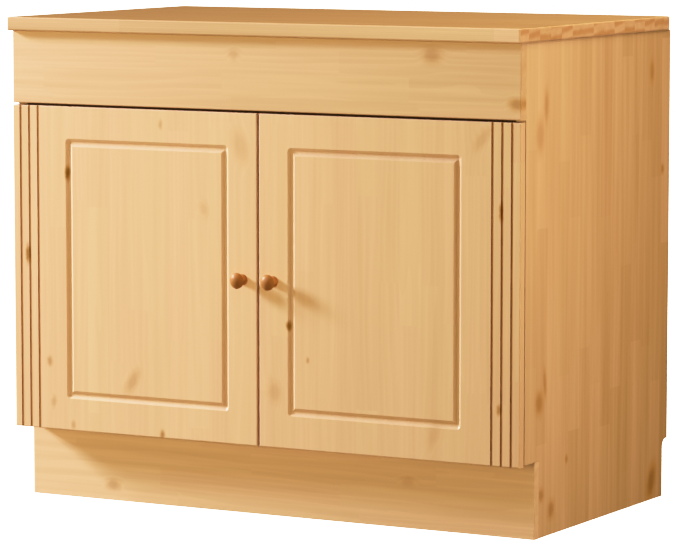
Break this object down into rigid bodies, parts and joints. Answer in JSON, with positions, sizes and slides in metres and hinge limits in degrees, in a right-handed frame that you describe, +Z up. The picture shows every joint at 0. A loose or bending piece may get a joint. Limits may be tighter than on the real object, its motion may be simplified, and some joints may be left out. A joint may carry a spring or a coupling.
{
  "type": "sink base cabinet",
  "caption": "Free-standing pine sink base cabinet: plain worktop, fixed fascia, fluted overlay doors with turned knobs on concealed hinges, recessed plinth and an open back for pipes.",
  "frame": {"origin": "on the floor, below the middle of the bounding box", "axes": "+X to the right along the fronts, +Y from the doors to the wall side, +Z up"},
  "size_m": [1, 0.614, 0.85],
  "materials": {
    "pine": "clear satin lacquer on solid pine",
    "beech": "bare turned beech",
    "nickel_plated_steel": "nickel plated, satin",
    "zinc_plated_steel": "bright zinc plated",
    "clear_rubber": "soft matt"
  },
  "bodies": {
    "carcass": {"arm_screws": "nickel_plated_steel", "bottom_panel": "pine", "bracket_screws": "zinc_plated_steel", "dowels": "beech", "fascia_panel": "pine", "fascia_screws": "zinc_plated_steel", "front_rail": "pine", "hinge_arm_lower_left": "nickel_plated_steel", "hinge_arm_lower_right": "nickel_plated_steel", "hinge_arm_upper_left": "nickel_plated_steel", "hinge_arm_upper_right": "nickel_plated_steel", "hinge_plate_lower_left": "nickel_plated_steel", "hinge_plate_lower_right": "nickel_plated_steel", "hinge_plate_upper_left": "nickel_plated_steel", "hinge_plate_upper_right": "nickel_plated_steel", "plate_screws": "nickel_plated_steel", "plinth_block_left": "pine", "plinth_block_right": "pine", "plinth_board": "pine", "rear_bottom_rail": "pine", "rear_top_rail": "pine", "side_panel_left": "pine", "side_panel_right": "pine", "worktop": "pine", "worktop_bracket_front_left": "zinc_plated_steel", "worktop_bracket_front_right": "zinc_plated_steel", "worktop_bracket_rear_left": "zinc_plated_steel", "worktop_bracket_rear_right": "zinc_plated_steel"},
    "door_left": {"cup_screws_left": "nickel_plated_steel", "door_bumpers_left": "clear_rubber", "door_left": "pine", "hinge_cup_lower_left": "nickel_plated_steel", "hinge_cup_upper_left": "nickel_plated_steel", "hinge_pin_lower_left": "nickel_plated_steel", "hinge_pin_upper_left": "nickel_plated_steel", "knob_left": "pine", "knob_screw_left": "nickel_plated_steel"},
    "door_right": {"cup_screws_right": "nickel_plated_steel", "door_bumpers_right": "clear_rubber", "door_right": "pine", "hinge_cup_lower_right": "nickel_plated_steel", "hinge_cup_upper_right": "nickel_plated_steel", "hinge_pin_lower_right": "nickel_plated_steel", "hinge_pin_upper_right": "nickel_plated_steel", "knob_right": "pine", "knob_screw_right": "nickel_plated_steel"}
  },
  "joints": [
    {"name": "door_left_swing", "type": "hinge", "parent": "carcass", "child": "door_left", "pos_m": [-0.4901, -0.2733, 0.412], "axis": [0, 0, -1], "range_deg": [0, 95]},
    {"name": "door_right_swing", "type": "hinge", "parent": "carcass", "child": "door_right", "pos_m": [0.4901, -0.2733, 0.412], "axis": [0, 0, 1], "range_deg": [0, 95]}
  ]
}
